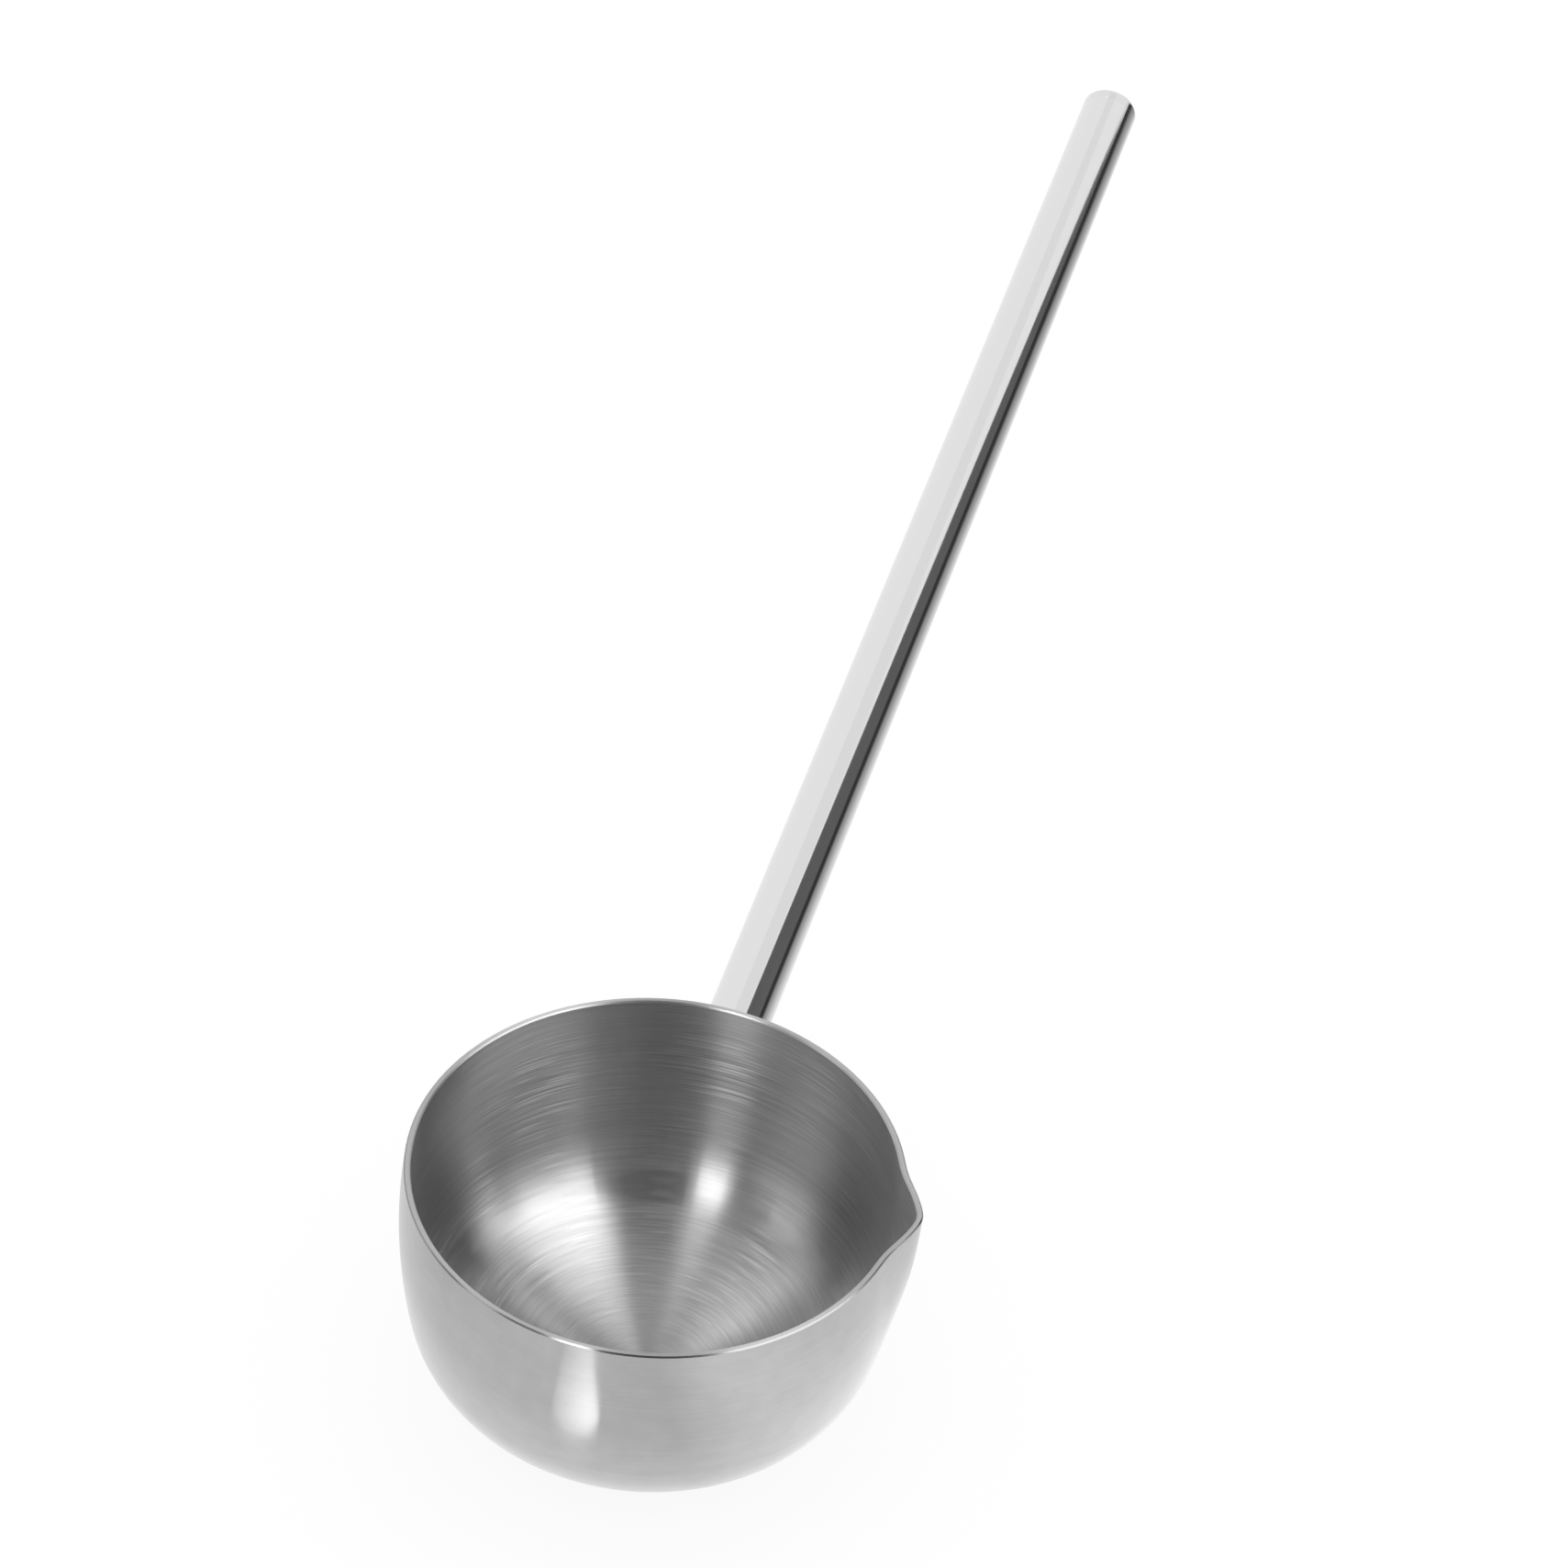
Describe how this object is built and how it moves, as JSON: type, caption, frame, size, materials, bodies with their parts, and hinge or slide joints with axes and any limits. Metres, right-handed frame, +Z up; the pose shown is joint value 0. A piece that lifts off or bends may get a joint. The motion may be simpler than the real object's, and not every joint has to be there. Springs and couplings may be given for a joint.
{
  "type": "water dipper",
  "caption": "Deep round steel dipper with a pressed pouring lip at its side and a long straight tube handle that rises from under the rim and ends in a rounded cap.",
  "frame": {"origin": "middle of the flat spot under the bowl", "axes": "+Z up along the bowl's axis, +Y the way the handle leaves, +X the side with the pouring lip"},
  "size_m": [0.079, 0.3007, 0.0842],
  "materials": {
    "bowl_steel": "turned and brushed inside, satin outside, polished rim",
    "handle_steel": "mirror polished",
    "cap_steel": "mirror polished",
    "weld_steel": "brushed weld bead"
  },
  "bodies": {
    "root": {"bowl": "bowl_steel", "handle_tube": "handle_steel", "handle_end_cap": "cap_steel", "handle_weld": "weld_steel"}
  },
  "joints": []
}
